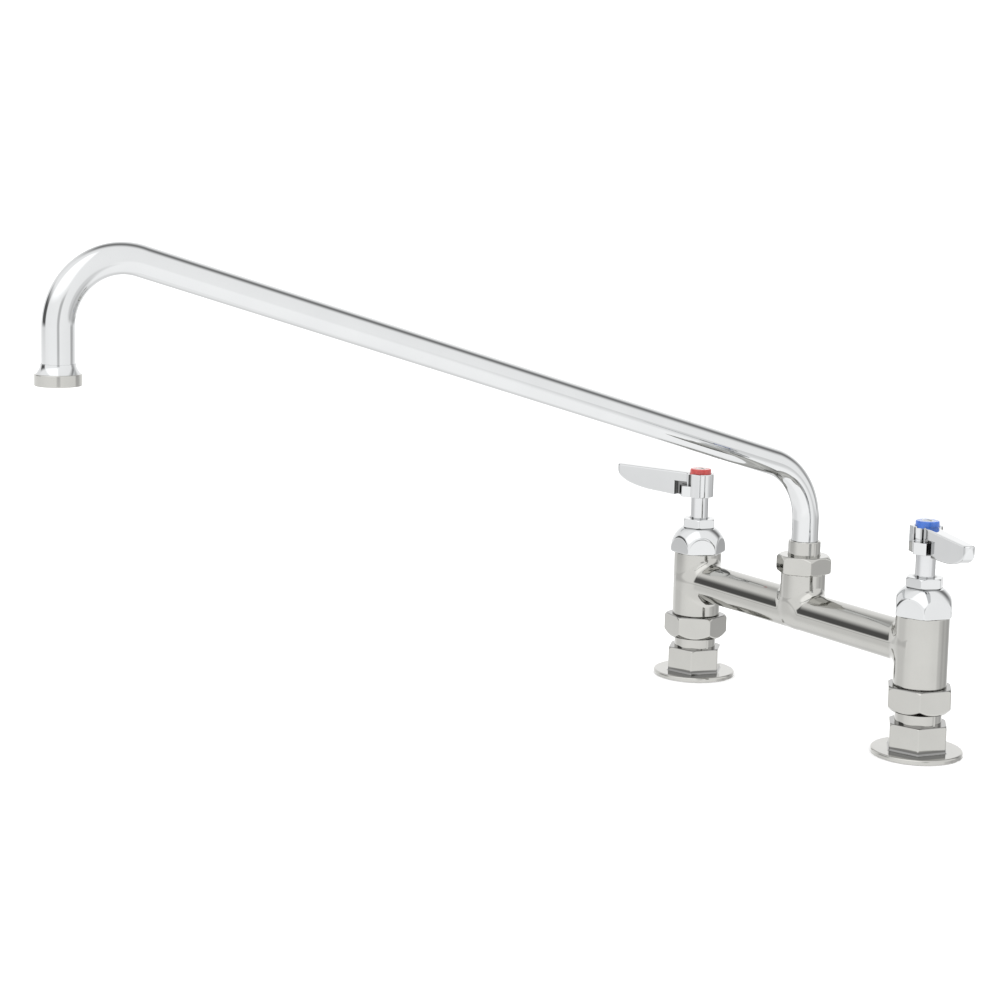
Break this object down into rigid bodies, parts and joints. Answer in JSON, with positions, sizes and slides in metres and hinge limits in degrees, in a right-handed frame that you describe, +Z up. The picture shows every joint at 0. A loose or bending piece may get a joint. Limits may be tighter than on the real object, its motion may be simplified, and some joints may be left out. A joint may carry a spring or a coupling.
{
  "type": "two-handle bridge mixer faucet",
  "caption": "Deck-mounted bridge mixer faucet with lever handles, flanged union inlets and a long rising swing spout.",
  "frame": {"origin": "midway between the two inlet holes, on the surface that the two flanges rest on", "axes": "+Z up; +X from the hot column to the cold column; the spout points to -Y, towards the user, at rest"},
  "size_m": [0.3182, 0.4938, 0.2795],
  "materials": {
    "body_chrome": "polished plate over a cast brass body",
    "bright_chrome": "bright polished plate",
    "stem_chrome": "turned and plated",
    "brass": "machined",
    "steel": "stainless",
    "rubber": "moulded",
    "packing": "pressed fibre and PTFE",
    "index_red": "moulded, gloss",
    "index_blue": "moulded, gloss"
  },
  "bodies": {
    "faucet_frame": {"faucet_body": "body_chrome", "hot_inlet_flange": "body_chrome", "hot_inlet_tailpiece": "body_chrome", "hot_coupling_nut": "body_chrome", "hot_coupling_washer": "rubber", "hot_seat": "brass", "hot_bonnet": "bright_chrome", "hot_bonnet_gasket": "packing", "hot_packing_nut": "bright_chrome", "hot_packing": "packing", "hot_spindle_ring": "steel", "cold_inlet_flange": "body_chrome", "cold_inlet_tailpiece": "body_chrome", "cold_coupling_nut": "body_chrome", "cold_coupling_washer": "rubber", "cold_seat": "brass", "cold_bonnet": "bright_chrome", "cold_bonnet_gasket": "packing", "cold_packing_nut": "bright_chrome", "cold_packing": "packing", "cold_spindle_ring": "steel", "swivel_nut": "body_chrome"},
    "hot_handle": {"hot_lever": "bright_chrome", "hot_index_button": "index_red", "hot_lever_screw": "steel", "hot_spindle": "stem_chrome"},
    "hot_lift": {"hot_plunger": "brass", "hot_seat_washer": "rubber", "hot_washer_screw": "brass"},
    "cold_handle": {"cold_lever": "bright_chrome", "cold_index_button": "index_blue", "cold_lever_screw": "steel", "cold_spindle": "stem_chrome"},
    "cold_lift": {"cold_plunger": "brass", "cold_seat_washer": "rubber", "cold_washer_screw": "brass"},
    "spout": {"swivel_sleeve": "body_chrome", "swivel_seals": "rubber", "spout_tube": "bright_chrome", "outlet_ferrule": "bright_chrome", "outlet_ring": "body_chrome", "outlet_washer": "rubber", "outlet_screen": "steel"}
  },
  "joints": [
    {"name": "hot_handle_turn", "type": "hinge", "parent": "faucet_frame", "child": "hot_handle", "pos_m": [-0.1016, 0, 0.1195], "axis": [0, 0, 1], "range_deg": [0, 90]},
    {"name": "hot_plunger_slide", "type": "slide", "parent": "faucet_frame", "child": "hot_lift", "axis": [0, 0, 1], "range_m": [0, 0.0025]},
    {"name": "cold_handle_turn", "type": "hinge", "parent": "faucet_frame", "child": "cold_handle", "pos_m": [0.1016, 0, 0.1195], "axis": [0, 0, -1], "range_deg": [0, 90]},
    {"name": "cold_plunger_slide", "type": "slide", "parent": "faucet_frame", "child": "cold_lift", "axis": [0, 0, 1], "range_m": [0, 0.0025]},
    {"name": "spout_swivel", "type": "hinge", "parent": "faucet_frame", "child": "spout", "pos_m": [0, 0, 0.0885], "axis": [0, 0, 1], "continuous": true}
  ],
  "couplings": [
    {"joint": "hot_plunger_slide", "follows": "hot_handle_turn", "m_per_rad": 0.0015915},
    {"joint": "cold_plunger_slide", "follows": "cold_handle_turn", "m_per_rad": 0.0015915}
  ]
}
